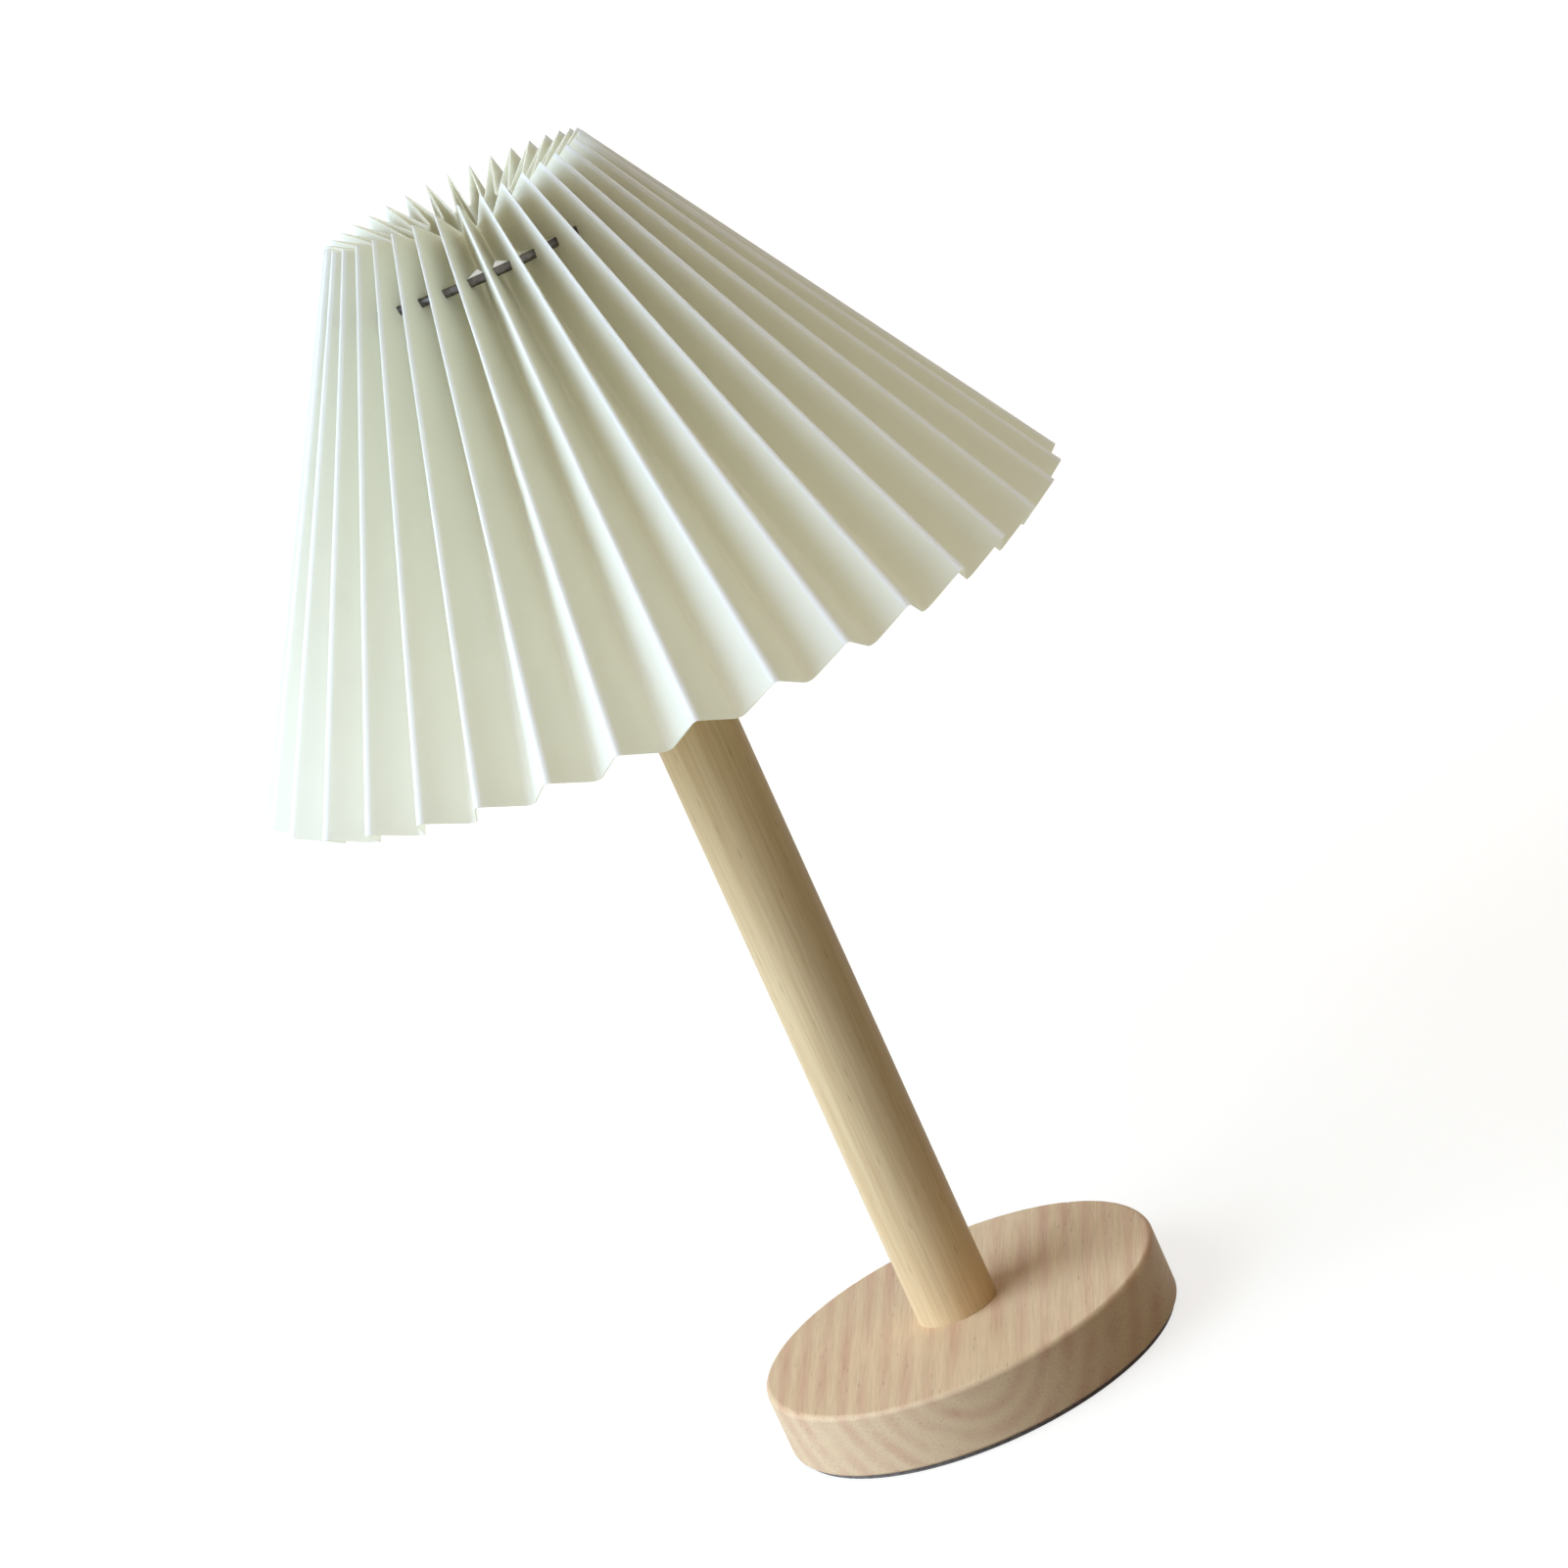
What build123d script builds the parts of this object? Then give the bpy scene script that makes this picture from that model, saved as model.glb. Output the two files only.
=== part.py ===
from build123d import *
import os
from math import atan2, cos, radians, sin, sqrt

# Pleated paper table lamp, in millimetres. +Z is up, and the origin is the centre of the underside
# of the pad, on the table. The front is -Y, where an outer fold of the shade lies, and the cable
# inlet is at the rear, +Y.

# Turned base and its pad
BASE_RADIUS = 62.0
BASE_THICKNESS = 20.0
BASE_TOP_ROUND = 1.6
BASE_LOWER_ROUND = 0.8
PAD_THICKNESS = 1.5
PAD_INSET = 1.5
RECESS_RADIUS = 22.0
RECESS_DEPTH = 11.0

# Cable inlet at the rear of the base
INLET_HEIGHT = 6.5
INLET_RADIUS = 4.0
GROMMET_LENGTH = 14.0
GROMMET_FLANGE_RADIUS = 5.4
GROMMET_FLANGE_THICKNESS = 1.4
CABLE_BORE_RADIUS = 3.2

# Stem and the threaded tube that clamps it to the base
STEM_RADIUS = 12.5
STEM_LENGTH = 226.0
STEM_SOCKET_DEPTH = 5.0
STEM_TOP_ROUND = 0.6
TUBE_RADIUS = 5.0
TUBE_BORE_RADIUS = 3.5
TUBE_LOWER_REACH = 1.5
TUBE_UPPER_REACH = 9.0
NUT_SIDES = 6
NUT_ACROSS_FLATS = 14.0
NUT_HEIGHT = 3.5
BASE_WASHER_RADIUS = 12.0
BASE_WASHER_THICKNESS = 1.6
LOCK_WASHER_RADIUS = 8.5
LOCK_WASHER_THICKNESS = 0.8
LOCK_WASHER_TEETH = 10
LOCK_TOOTH_DEPTH = 1.6
STEM_WASHER_RADIUS = 11.0
STEM_WASHER_THICKNESS = 1.5

# Lampholder
NECK_RADIUS = 9.0
NECK_HEIGHT = 8.0
DOME_RADIUS = 19.5
DOME_FLARE_HEIGHT = 8.0
DOME_HEIGHT = 24.0
DOME_WALL = 2.0
SPIGOT_HEIGHT = 6.0
SPIGOT_WALL = 1.5
LOCK_SCREW_RADIUS = 2.0
SCREW_SLOT = 0.6
SKIRT_RADIUS = 19.8
SKIRT_WALL = 2.4
SKIRT_HEIGHT = 32.5
SKIRT_LIP = 2.0
COLLAR_RADIUS = 23.5
COLLAR_THICKNESS = 3.5
INSERT_FLOOR = 1.5
INSERT_BLOCK_DEPTH = 13.0
SOCKET_RADIUS = 13.4
SOCKET_SHEET = 0.4
SOCKET_DEPTH = 21.0
SOCKET_FLOOR_HOLE_RADIUS = 10.0
CONTACT_SHEET = 0.5
CONTACT_WIDTH = 6.0
CONTACT_RISE = 2.3
CONTACT_FOOT = 8.5
TERMINAL_OFFSET = 9.0
TERMINAL_LENGTH = 7.0
TERMINAL_WIDTH = 6.0
TERMINAL_SHEET = 0.8
TERMINAL_SCREW_RADIUS = 1.5
TERMINAL_SCREW_LENGTH = 6.0
TERMINAL_HEAD_RADIUS = 2.6
TERMINAL_HEAD_HEIGHT = 1.8

# Clamp ring and wire carrier
CLAMP_RADIUS = 27.0
CLAMP_HEIGHT = 8.0
CLAMP_FLANGE_THICKNESS = 2.5
CLAMP_GRIP_RADIUS = 24.5
CLAMP_NOTCHES = 12
CLAMP_NOTCH_RADIUS = 1.6
HUB_RADIUS = 34.0
HUB_THICKNESS = 1.5
ARMS = 3
ARM_WIRE_RADIUS = 1.0
ARM_FOOT_LAP = 5.0
ARM_FOOT_REACH = 3.5
ARM_BEND = 5.0
ARM_KNEE_DROP = 17.0
ARM_KNEE_INSET = 5.5
ARM_WELD = 0.2
HOOP_WIRE_RADIUS = 1.3
HOOP_DROP = 20.0

# Shade: a paper strip as wide as its folds are long, cut square to them
PLEATS = 36
PLEAT_DEPTH = 16.0
FOLD_LENGTH = 162.3
SHADE_RIM_RADIUS = 125.0
SHADE_TOP_RADIUS = 38.5
LAMP_HEIGHT = 382.4
PAPER = 0.4
TRIM_MARGIN = 3.0
TRIM_CORE_RADIUS = 6.0

# Bulb: a golf-ball shaped lamp with a 27 mm screw cap
BULB_LENGTH = 78.0
GLOBE_RADIUS = 22.5
GLOBE_WALL = 1.0
BULB_CAP_RADIUS = 13.0
BULB_CAP_SHEET = 0.4
BULB_CAP_TOP = 25.0
BULB_CAP_BOTTOM = 6.5
BULB_CAP_TAPER = 2.5
BULB_CONTACT_RADIUS = 4.8
BULB_CONTACT_HEIGHT = 1.5
BULB_NECK_RADIUS = 13.8
BULB_NECK_FLARE = 0.25
BULB_BODY_TOP = 43.5
LED_BOARD_RADIUS = 16.0
LED_BOARD_THICKNESS = 1.6

# Clearances
RUNNING_GAP = 0.3
THREAD_GAP = 0.05
WOOD_GAP = 0.05
DRY_GAP = 0.15
SLOT_GAP = 0.1
CONTACT_GAP = 0.3
TUBE_HOLE_GAP = 0.3

# Levels, from the table up
pad_top = PAD_THICKNESS
base_top = pad_top + BASE_THICKNESS
recess_roof = pad_top + RECESS_DEPTH
inlet_level = pad_top + INLET_HEIGHT
socket_floor = base_top - STEM_SOCKET_DEPTH
base_washer_under = recess_roof - BASE_WASHER_THICKNESS
lock_washer_under = base_washer_under - LOCK_WASHER_THICKNESS
base_nut_under = lock_washer_under - NUT_HEIGHT
tube_bottom = base_nut_under - TUBE_LOWER_REACH
stem_top = socket_floor + STEM_LENGTH
stem_washer_top = stem_top + STEM_WASHER_THICKNESS
stem_nut_top = stem_washer_top + NUT_HEIGHT
tube_top = stem_nut_top + TUBE_UPPER_REACH
dome_top = stem_nut_top + DOME_HEIGHT
spigot_top = dome_top + SPIGOT_HEIGHT
skirt_top = dome_top + SKIRT_HEIGHT
lip_under = skirt_top - SKIRT_LIP
insert_floor = spigot_top + INSERT_FLOOR
insert_under = spigot_top - INSERT_BLOCK_DEPTH
contact_top = insert_floor + CONTACT_RISE + CONTACT_SHEET / 2
hub_under = dome_top + COLLAR_THICKNESS + RUNNING_GAP
hub_top = hub_under + HUB_THICKNESS
clamp_under = hub_top + RUNNING_GAP
bulb_tip = contact_top + CONTACT_GAP
bulb_top = bulb_tip + BULB_LENGTH
globe_centre = bulb_top - GLOBE_RADIUS

# Radii that follow from the sizes above
tube_hole_radius = TUBE_RADIUS + TUBE_HOLE_GAP
thread_hole_radius = TUBE_RADIUS + THREAD_GAP
skirt_bore_radius = SKIRT_RADIUS - SKIRT_WALL
spigot_radius = skirt_bore_radius - DRY_GAP
insert_block_radius = spigot_radius - SPIGOT_WALL - DRY_GAP
insert_cavity_radius = SOCKET_RADIUS + SOCKET_SHEET + DRY_GAP
hub_bore_radius = SKIRT_RADIUS + RUNNING_GAP
body_top_radius = sqrt(GLOBE_RADIUS**2 - (bulb_tip + BULB_BODY_TOP - globe_centre) ** 2)

# Folds: the outer folds run from the rim to the top, and the inner folds lie half a pitch round
# from them. The strip is cut square, so an inner fold ends one pleat depth away from the outer
# fold's end, at a right angle to it.
half_pitch = 180.0 / PLEATS
front = -90.0
fold_run = SHADE_RIM_RADIUS - SHADE_TOP_RADIUS
fold_rise = sqrt(FOLD_LENGTH**2 - fold_run**2)
ridge_top = (SHADE_TOP_RADIUS, LAMP_HEIGHT)
ridge_rim = (SHADE_RIM_RADIUS, LAMP_HEIGHT - fold_rise)


def inner_fold_end(ridge_end):
    """Radius and level at which the inner fold beside an outer fold's end is cut."""
    radius, level = ridge_end
    slope = fold_run / fold_rise
    along = cos(radians(half_pitch))
    across = sin(radians(half_pitch))
    a = along**2 * (1 + slope**2) + across**2
    b = -2 * radius * along * (1 + slope**2)
    c = radius**2 * (1 + slope**2) - PLEAT_DEPTH**2
    inner_radius = (-b - sqrt(b**2 - 4 * a * c)) / (2 * a)
    return inner_radius, level + slope * (inner_radius * along - radius)


valley_top = inner_fold_end(ridge_top)
valley_rim = inner_fold_end(ridge_rim)


def radius_at(level, lower, upper):
    """Radius at a level on the straight line through two (radius, level) points."""
    share = (level - lower[1]) / (upper[1] - lower[1])
    return lower[0] + share * (upper[0] - lower[0])


def fold_radii(level):
    """Radii of the outer and inner folds at a level."""
    return radius_at(level, ridge_rim, ridge_top), radius_at(level, valley_rim, valley_top)


def lining_radii(level):
    """Radii of the same folds on the inside of the paper."""
    ridge, valley = fold_radii(level)
    inner = valley * sin(radians(half_pitch))
    lean = atan2(inner, ridge - valley * cos(radians(half_pitch)))
    return ridge - PAPER / sin(lean), valley - PAPER / sin(lean + radians(half_pitch))


def star(radii):
    """Points of a closed zigzag between two radii, with an outer point at the front."""
    points = []
    for step in range(2 * PLEATS):
        angle = radians(front + step * half_pitch)
        points.append((radii[step % 2] * cos(angle), radii[step % 2] * sin(angle)))
    return points


def lining_star(level, lower_level, upper_level):
    """Inside zigzag at a level, on straight lines through those at two other levels."""
    lower = lining_radii(lower_level)
    upper = lining_radii(upper_level)
    radii = []
    for low, high in zip(lower, upper):
        radii.append(radius_at(level, (low, lower_level), (high, upper_level)))
    return star(radii)


hoop_level = LAMP_HEIGHT - HOOP_DROP
hoop_radius = sum(fold_radii(hoop_level)) / 2


def disc(under, top, radius, hole_radius=0.0):
    """Turned plate between two levels, with an optional hole, in its own builder."""
    with BuildPart() as plate:
        with BuildSketch(Plane.XY.offset(under)):
            Circle(radius)
            if hole_radius > 0:
                Circle(hole_radius, mode=Mode.SUBTRACT)
        extrude(amount=top - under)
    return plate


def hex_nut(under):
    """Thin hexagon nut on the threaded tube, chamfered at its top and bottom corners."""
    with BuildPart() as nut:
        with BuildSketch(Plane.XY.offset(under)):
            RegularPolygon(NUT_ACROSS_FLATS / 2, NUT_SIDES, major_radius=False)
        extrude(amount=NUT_HEIGHT)
        corner_radius = NUT_ACROSS_FLATS / 2 / cos(radians(180 / NUT_SIDES))
        chamfer_height = (corner_radius - NUT_ACROSS_FLATS / 2) / 2
        with BuildSketch(Plane.XZ):
            with BuildLine():
                Polyline(
                    (0, under),
                    (NUT_ACROSS_FLATS / 2, under),
                    (corner_radius, under + chamfer_height),
                    (corner_radius, under + NUT_HEIGHT - chamfer_height),
                    (NUT_ACROSS_FLATS / 2, under + NUT_HEIGHT),
                    (0, under + NUT_HEIGHT),
                    close=True,
                )
            make_face()
        revolve(axis=Axis.Z, mode=Mode.INTERSECT)
        with BuildSketch(Plane.XY.offset(under)):
            Circle(thread_hole_radius)
        extrude(amount=NUT_HEIGHT, mode=Mode.SUBTRACT)
    return nut


# Anti-slip pad, glued under the base and covering its recess
base_pad = disc(0, pad_top, BASE_RADIUS - PAD_INSET)

# Base disc: the stem's socket above, the nut's recess below, and the cable's hole to the rear
with BuildPart() as base_disc:
    with BuildSketch(Plane.XY.offset(pad_top)):
        Circle(BASE_RADIUS)
    extrude(amount=BASE_THICKNESS)
    fillet(base_disc.edges().sort_by(Axis.Z)[-1], BASE_TOP_ROUND)
    fillet(base_disc.edges().sort_by(Axis.Z)[0], BASE_LOWER_ROUND)
    with BuildSketch(Plane.XY.offset(socket_floor)):
        Circle(STEM_RADIUS + WOOD_GAP)
    extrude(amount=STEM_SOCKET_DEPTH, mode=Mode.SUBTRACT)
    with BuildSketch(Plane.XY.offset(pad_top)):
        Circle(RECESS_RADIUS)
    extrude(amount=RECESS_DEPTH, mode=Mode.SUBTRACT)
    with BuildSketch(Plane.XY.offset(recess_roof)):
        Circle(tube_hole_radius)
    extrude(amount=socket_floor - recess_roof, mode=Mode.SUBTRACT)
    with BuildSketch(Plane.XZ):
        with Locations((0, inlet_level)):
            Circle(INLET_RADIUS)
    extrude(amount=-BASE_RADIUS, mode=Mode.SUBTRACT)
    with BuildSketch(Plane.XZ.offset(-BASE_RADIUS)):
        with Locations((0, inlet_level)):
            Circle(GROMMET_FLANGE_RADIUS + WOOD_GAP)
    extrude(amount=GROMMET_FLANGE_THICKNESS, mode=Mode.SUBTRACT)

# Grommet in the rear hole, its flange let in flush with the edge of the base
with BuildPart() as cable_grommet:
    with BuildSketch(Plane.XZ.offset(-BASE_RADIUS)):
        with Locations((0, inlet_level)):
            Circle(GROMMET_FLANGE_RADIUS)
    extrude(amount=GROMMET_FLANGE_THICKNESS)
    with BuildSketch(Plane.XZ.offset(-BASE_RADIUS)):
        with Locations((0, inlet_level)):
            Circle(INLET_RADIUS - WOOD_GAP)
    extrude(amount=GROMMET_LENGTH)
    with BuildSketch(Plane.XZ.offset(-BASE_RADIUS)):
        with Locations((0, inlet_level)):
            Circle(CABLE_BORE_RADIUS)
    extrude(amount=GROMMET_LENGTH, mode=Mode.SUBTRACT)

# Stem: a bored dowel, seated on the floor of the base's socket
with BuildPart() as stem:
    with BuildSketch(Plane.XY.offset(socket_floor)):
        Circle(STEM_RADIUS)
        Circle(tube_hole_radius, mode=Mode.SUBTRACT)
    extrude(amount=STEM_LENGTH)
    fillet(stem.edges().group_by(Axis.Z)[-1].sort_by(SortBy.LENGTH)[-1], STEM_TOP_ROUND)

# Threaded tube, its washers and nuts
threaded_tube = disc(tube_bottom, tube_top, TUBE_RADIUS, TUBE_BORE_RADIUS)
base_washer = disc(base_washer_under, recess_roof, BASE_WASHER_RADIUS, tube_hole_radius)
base_nut = hex_nut(base_nut_under)
stem_washer = disc(stem_top, stem_washer_top, STEM_WASHER_RADIUS, tube_hole_radius)
stem_nut = hex_nut(stem_washer_top)

# Toothed lock washer between the base washer and the nut
with BuildPart() as lock_washer:
    with BuildSketch(Plane.XY.offset(lock_washer_under)):
        Circle(LOCK_WASHER_RADIUS)
        Circle(tube_hole_radius, mode=Mode.SUBTRACT)
        with PolarLocations(LOCK_WASHER_RADIUS, LOCK_WASHER_TEETH):
            Rectangle(LOCK_TOOTH_DEPTH, LOCK_TOOTH_DEPTH, mode=Mode.SUBTRACT)
    extrude(amount=LOCK_WASHER_THICKNESS)

# Lampholder dome: a threaded neck, a flare, and a spigot that the skirt screws on to
neck_top = stem_nut_top + NECK_HEIGHT
flare_top = neck_top + DOME_FLARE_HEIGHT
spigot_bore_radius = spigot_radius - SPIGOT_WALL
flare_bore = DOME_FLARE_HEIGHT - DOME_WALL
flare_foot_radius = DOME_RADIUS - DOME_FLARE_HEIGHT
throat_radius = spigot_bore_radius - flare_bore
throat_level = flare_top - flare_bore
with BuildPart() as holder_dome:
    with BuildSketch(Plane.XZ):
        with BuildLine():
            Line((thread_hole_radius, stem_nut_top), (NECK_RADIUS, stem_nut_top))
            Line((NECK_RADIUS, stem_nut_top), (NECK_RADIUS, neck_top))
            Line((NECK_RADIUS, neck_top), (flare_foot_radius, neck_top))
            TangentArc((flare_foot_radius, neck_top), (DOME_RADIUS, flare_top), tangent=(1, 0))
            Line((DOME_RADIUS, flare_top), (DOME_RADIUS, dome_top))
            Line((DOME_RADIUS, dome_top), (spigot_radius, dome_top))
            Line((spigot_radius, dome_top), (spigot_radius, spigot_top))
            Line((spigot_radius, spigot_top), (spigot_bore_radius, spigot_top))
            Line((spigot_bore_radius, spigot_top), (spigot_bore_radius, flare_top))
            TangentArc((spigot_bore_radius, flare_top), (throat_radius, throat_level), tangent=(0, -1))
            Line((throat_radius, throat_level), (thread_hole_radius, throat_level))
            Line((thread_hole_radius, throat_level), (thread_hole_radius, stem_nut_top))
        make_face()
    revolve(axis=Axis.Z)
    with BuildSketch(Plane.YZ):
        with Locations((0, stem_nut_top + NECK_HEIGHT / 2)):
            Circle(LOCK_SCREW_RADIUS + THREAD_GAP)
    extrude(amount=NECK_RADIUS, mode=Mode.SUBTRACT)

# Grub screw through the neck, its tip on the tube
with BuildPart() as holder_lock_screw:
    with BuildSketch(Plane.YZ.offset(TUBE_RADIUS)):
        with Locations((0, stem_nut_top + NECK_HEIGHT / 2)):
            Circle(LOCK_SCREW_RADIUS)
    extrude(amount=NECK_RADIUS - TUBE_RADIUS)
    with BuildSketch(Plane.YZ.offset(NECK_RADIUS)):
        with Locations((0, stem_nut_top + NECK_HEIGHT / 2)):
            Rectangle(2 * LOCK_SCREW_RADIUS, SCREW_SLOT)
    extrude(amount=-SCREW_SLOT, mode=Mode.SUBTRACT)

# Lampholder skirt: the collar that the carrier rests on, and a lip that keeps the insert in
with BuildPart() as holder_skirt:
    with BuildSketch(Plane.XZ):
        with BuildLine():
            Polyline(
                (skirt_bore_radius, dome_top),
                (COLLAR_RADIUS, dome_top),
                (COLLAR_RADIUS, dome_top + COLLAR_THICKNESS),
                (SKIRT_RADIUS, dome_top + COLLAR_THICKNESS),
                (SKIRT_RADIUS, skirt_top),
                (insert_cavity_radius, skirt_top),
                (insert_cavity_radius, lip_under),
                (skirt_bore_radius, lip_under),
                close=True,
            )
        make_face()
    revolve(axis=Axis.Z)

# Insert: a moulded block with the terminals below and the cup for the screw shell above
with BuildPart() as holder_insert:
    with BuildSketch(Plane.XZ):
        with BuildLine():
            Polyline(
                (0, insert_under),
                (insert_block_radius, insert_under),
                (insert_block_radius, spigot_top),
                (spigot_radius, spigot_top),
                (spigot_radius, lip_under),
                (insert_cavity_radius, lip_under),
                (insert_cavity_radius, insert_floor),
                (0, insert_floor),
                close=True,
            )
        make_face()
    revolve(axis=Axis.Z)
    with BuildSketch(Plane.XY.offset(insert_under)):
        with Locations((-TERMINAL_OFFSET, 0), (TERMINAL_OFFSET, 0)):
            Circle(TERMINAL_SCREW_RADIUS + THREAD_GAP)
    extrude(amount=TERMINAL_SCREW_LENGTH, mode=Mode.SUBTRACT)

# Screw shell that takes the bulb's cap
with BuildPart() as screw_shell:
    with BuildSketch(Plane.XY.offset(insert_floor)):
        Circle(SOCKET_RADIUS + SOCKET_SHEET)
        Circle(SOCKET_FLOOR_HOLE_RADIUS, mode=Mode.SUBTRACT)
    extrude(amount=SOCKET_SHEET)
    with BuildSketch(Plane.XY.offset(insert_floor)):
        Circle(SOCKET_RADIUS + SOCKET_SHEET)
        Circle(SOCKET_RADIUS, mode=Mode.SUBTRACT)
    extrude(amount=SOCKET_DEPTH)

# Centre contact: a bent leaf whose foot lies on the insert's floor
with BuildPart() as centre_contact:
    with BuildSketch(Plane.XZ.offset(-CONTACT_WIDTH / 2)):
        with BuildLine():
            Polyline(
                (-CONTACT_FOOT, insert_floor + CONTACT_SHEET / 2),
                (-CONTACT_FOOT / 2, insert_floor + CONTACT_SHEET / 2),
                (-CONTACT_FOOT / 4, insert_floor + CONTACT_RISE),
                (CONTACT_FOOT / 4, insert_floor + CONTACT_RISE),
            )
        trace(line_width=CONTACT_SHEET)
    extrude(amount=CONTACT_WIDTH)

# Terminal plates under the insert, and the screws that hold them
plate_under = insert_under - TERMINAL_SHEET
with BuildPart() as terminal_plates:
    with BuildSketch(Plane.XY.offset(plate_under)):
        with Locations((-TERMINAL_OFFSET, 0), (TERMINAL_OFFSET, 0)):
            Rectangle(TERMINAL_LENGTH, TERMINAL_WIDTH)
            Circle(TERMINAL_SCREW_RADIUS + THREAD_GAP, mode=Mode.SUBTRACT)
    extrude(amount=TERMINAL_SHEET)
with BuildPart() as terminal_screws:
    with BuildSketch(Plane.XY.offset(plate_under)):
        with Locations((-TERMINAL_OFFSET, 0), (TERMINAL_OFFSET, 0)):
            Circle(TERMINAL_HEAD_RADIUS)
    extrude(amount=-TERMINAL_HEAD_HEIGHT)
    with BuildSketch(Plane.XY.offset(plate_under)):
        with Locations((-TERMINAL_OFFSET, 0), (TERMINAL_OFFSET, 0)):
            Circle(TERMINAL_SCREW_RADIUS)
    extrude(amount=TERMINAL_SCREW_LENGTH + TERMINAL_SHEET)
    with BuildSketch(Plane.XY.offset(plate_under - TERMINAL_HEAD_HEIGHT)):
        with Locations((-TERMINAL_OFFSET, 0), (TERMINAL_OFFSET, 0)):
            Rectangle(SCREW_SLOT, 2 * TERMINAL_HEAD_RADIUS)
    extrude(amount=TERMINAL_HEAD_HEIGHT / 2, mode=Mode.SUBTRACT)

# Carrier hub: a flat ring on the holder's collar
carrier_hub = disc(hub_under, hub_top, HUB_RADIUS, hub_bore_radius)

# Clamp ring over the hub: a flange, and a grip with scallops for the fingers
with BuildPart() as clamp_ring:
    with BuildSketch(Plane.XY.offset(clamp_under)):
        Circle(CLAMP_RADIUS)
        Circle(hub_bore_radius, mode=Mode.SUBTRACT)
    extrude(amount=CLAMP_FLANGE_THICKNESS)
    with BuildSketch(Plane.XY.offset(clamp_under)):
        Circle(CLAMP_GRIP_RADIUS)
        Circle(hub_bore_radius, mode=Mode.SUBTRACT)
        with PolarLocations(CLAMP_GRIP_RADIUS, CLAMP_NOTCHES):
            Circle(CLAMP_NOTCH_RADIUS, mode=Mode.SUBTRACT)
    extrude(amount=CLAMP_HEIGHT)

# Hoop: the wire ring that the pleats hang on, half way in between their folds
with BuildPart() as shade_hoop:
    with BuildSketch(Plane.XZ):
        with Locations((hoop_radius, hoop_level)):
            Circle(HOOP_WIRE_RADIUS)
    revolve(axis=Axis.Z)

# Arms: bent wires from the hub to the hoop, each inside the hollow of an outer fold
foot_level = hub_top + ARM_WIRE_RADIUS - ARM_WELD
foot_start = HUB_RADIUS - ARM_FOOT_LAP
with BuildPart() as carrier_arms:
    for arm in range(ARMS):
        azimuth = front + 2 * half_pitch * round(arm * PLEATS / ARMS)
        upright = Plane(origin=(0, 0, 0), x_dir=(cos(radians(azimuth)), sin(radians(azimuth)), 0),
                        z_dir=(sin(radians(azimuth)), -cos(radians(azimuth)), 0))
        with BuildLine(upright) as route:
            FilletPolyline(
                (foot_start, foot_level),
                (HUB_RADIUS + ARM_FOOT_REACH, foot_level),
                (hoop_radius - ARM_KNEE_INSET, hoop_level - ARM_KNEE_DROP),
                (hoop_radius, hoop_level),
                radius=ARM_BEND,
            )
        with BuildSketch(Plane(route.line @ 0, z_dir=route.line % 0)):
            Circle(ARM_WIRE_RADIUS)
        sweep(path=route.line)
    add(shade_hoop.part, mode=Mode.SUBTRACT)
    add(carrier_hub.part, mode=Mode.SUBTRACT)

# Pleated shade: a zigzag ring lofted along its folds, trimmed square to them at both ends, and
# notched through the inner folds so that it sits on the hoop
loft_under = valley_rim[1] - TRIM_MARGIN
loft_top = LAMP_HEIGHT + TRIM_MARGIN
middle = (ridge_rim[1] + valley_top[1]) / 2
trim_radius = SHADE_RIM_RADIUS + 2 * TRIM_MARGIN


def trim_level(radius, inner_end, outer_end):
    """Level at a radius on the straight cut through the ends of an inner and an outer fold."""
    share = (radius - inner_end[0]) / (outer_end[0] - inner_end[0])
    return inner_end[1] + share * (outer_end[1] - inner_end[1])


with BuildPart() as pleated_shade:
    for level, lower, upper in (
        (loft_under, valley_rim[1], middle),
        (middle, middle, LAMP_HEIGHT),
        (loft_top, middle, LAMP_HEIGHT),
    ):
        with BuildSketch(Plane.XY.offset(level)):
            Polygon(*star(fold_radii(level)), align=None)
            Polygon(*lining_star(level, lower, upper), align=None, mode=Mode.SUBTRACT)
    loft(ruled=True)
    with BuildSketch(Plane.XZ):
        with BuildLine():
            Polyline(
                (TRIM_CORE_RADIUS, trim_level(TRIM_CORE_RADIUS, valley_rim, ridge_rim)),
                (trim_radius, trim_level(trim_radius, valley_rim, ridge_rim)),
                (trim_radius, trim_level(trim_radius, valley_top, ridge_top)),
                (TRIM_CORE_RADIUS, trim_level(TRIM_CORE_RADIUS, valley_top, ridge_top)),
                close=True,
            )
        make_face()
    revolve(axis=Axis.Z, mode=Mode.INTERSECT)
    with BuildSketch(Plane.XY.offset(hoop_level - HOOP_WIRE_RADIUS - SLOT_GAP)):
        Circle(hoop_radius + HOOP_WIRE_RADIUS + SLOT_GAP)
    extrude(amount=2 * HOOP_WIRE_RADIUS + SLOT_GAP, mode=Mode.SUBTRACT)

# Bulb cap: thin metal screw shell, drawn in at its lower end
cap_bottom = bulb_tip + BULB_CAP_BOTTOM
cap_shoulder = cap_bottom + BULB_CAP_TAPER
cap_top = bulb_tip + BULB_CAP_TOP
cap_mouth_radius = BULB_CAP_RADIUS - BULB_CAP_TAPER / 2
with BuildPart() as bulb_cap:
    with BuildSketch(Plane.XZ):
        with BuildLine():
            Polyline(
                (cap_mouth_radius, cap_bottom),
                (BULB_CAP_RADIUS, cap_shoulder),
                (BULB_CAP_RADIUS, cap_top),
                (BULB_CAP_RADIUS - BULB_CAP_SHEET, cap_top),
                (BULB_CAP_RADIUS - BULB_CAP_SHEET, cap_shoulder),
                (cap_mouth_radius - BULB_CAP_SHEET, cap_bottom),
                close=True,
            )
        make_face()
    revolve(axis=Axis.Z)

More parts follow.
